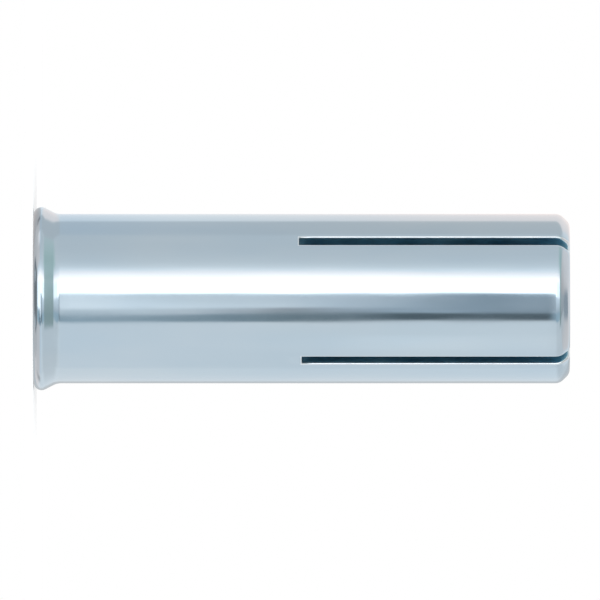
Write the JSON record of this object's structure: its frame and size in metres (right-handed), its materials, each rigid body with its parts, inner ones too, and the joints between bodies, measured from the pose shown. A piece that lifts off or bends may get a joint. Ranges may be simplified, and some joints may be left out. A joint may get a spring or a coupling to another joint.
{
  "type": "drop-in anchor",
  "caption": "Lipped steel drop-in anchor: an internally threaded sleeve with a slotted expansion end and the plug that spreads it.",
  "frame": {"origin": "centre of the lip's face, on the axis of the anchor", "axes": "+Z along the axis, from the lip to the expansion end; the saw cuts lie on the diagonals between X and Y"},
  "size_m": [0.017, 0.017, 0.05],
  "materials": {
    "zinc_plate": "bright bluish zinc plate, glossy",
    "plug_steel": "turned steel, satin"
  },
  "bodies": {
    "root": {"anchor_shell": "zinc_plate", "expansion_plug": "plug_steel"}
  },
  "joints": []
}
